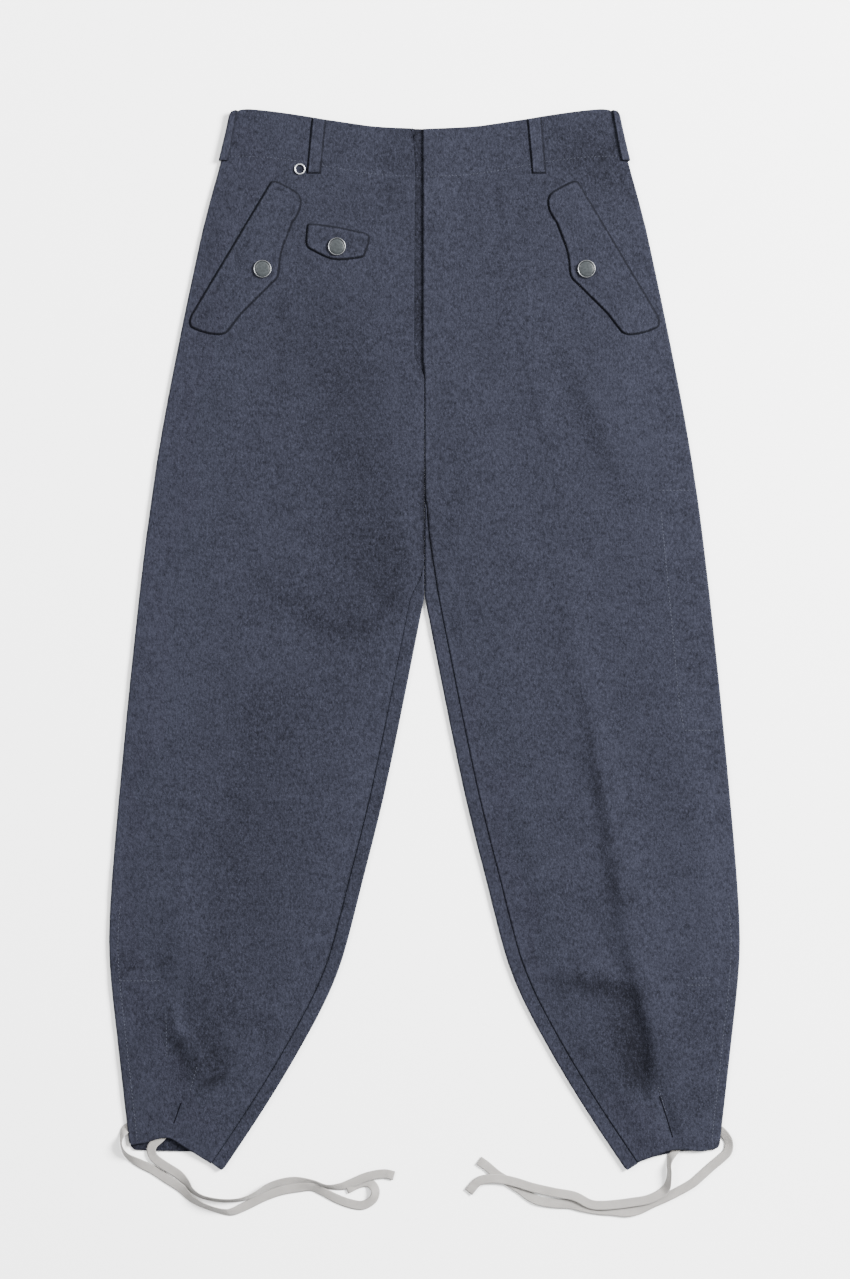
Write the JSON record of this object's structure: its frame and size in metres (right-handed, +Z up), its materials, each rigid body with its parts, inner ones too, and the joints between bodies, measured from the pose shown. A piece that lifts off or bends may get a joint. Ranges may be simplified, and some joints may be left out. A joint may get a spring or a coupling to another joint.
{
  "type": "paratrooper trousers",
  "caption": "Wide wool trousers laid flat: slanted hip pocket flaps with snaps, a small fob flap, belt loops and loose ankle tapes at the tapered hems.",
  "frame": {"origin": "on the surface the trousers lie on, in the middle of their width and length, tapes left out", "axes": "+Z up from the surface, out of the front of the trousers; +Y towards the waist; +X towards the wearer's left leg"},
  "size_m": [0.6508, 1.1427, 0.0125],
  "materials": {
    "wool": "heathered blue-grey wool, felted nap",
    "tape": "off-white cotton tape",
    "snap_cap": "grey lacquer with a bright nickel rim",
    "ring_metal": "bright nickel wire"
  },
  "bodies": {
    "trousers": {"front_left": "wool", "front_right": "wool", "back_left": "wool", "back_right": "wool", "fly_underlap": "wool", "loop_front_left": "wool", "loop_front_right": "wool", "loop_side_left": "wool", "loop_side_right": "wool", "loop_back": "wool", "flap_hip_left": "wool", "flap_hip_right": "wool", "flap_fob": "wool", "snap_hip_left": "snap_cap", "snap_hip_right": "snap_cap", "snap_fob": "snap_cap", "ring_tab": "wool", "tape_left_a": "tape", "tape_left_b": "tape", "tape_right_a": "tape", "tape_right_b": "tape"},
    "ring": {"ring": "ring_metal"}
  },
  "joints": [
    {"name": "ring_swing", "type": "hinge", "parent": "trousers", "child": "ring", "pos_m": [-0.12355, 0.4844, 0.00759], "axis": [0, 1, 0], "range_deg": [0, 130]}
  ]
}
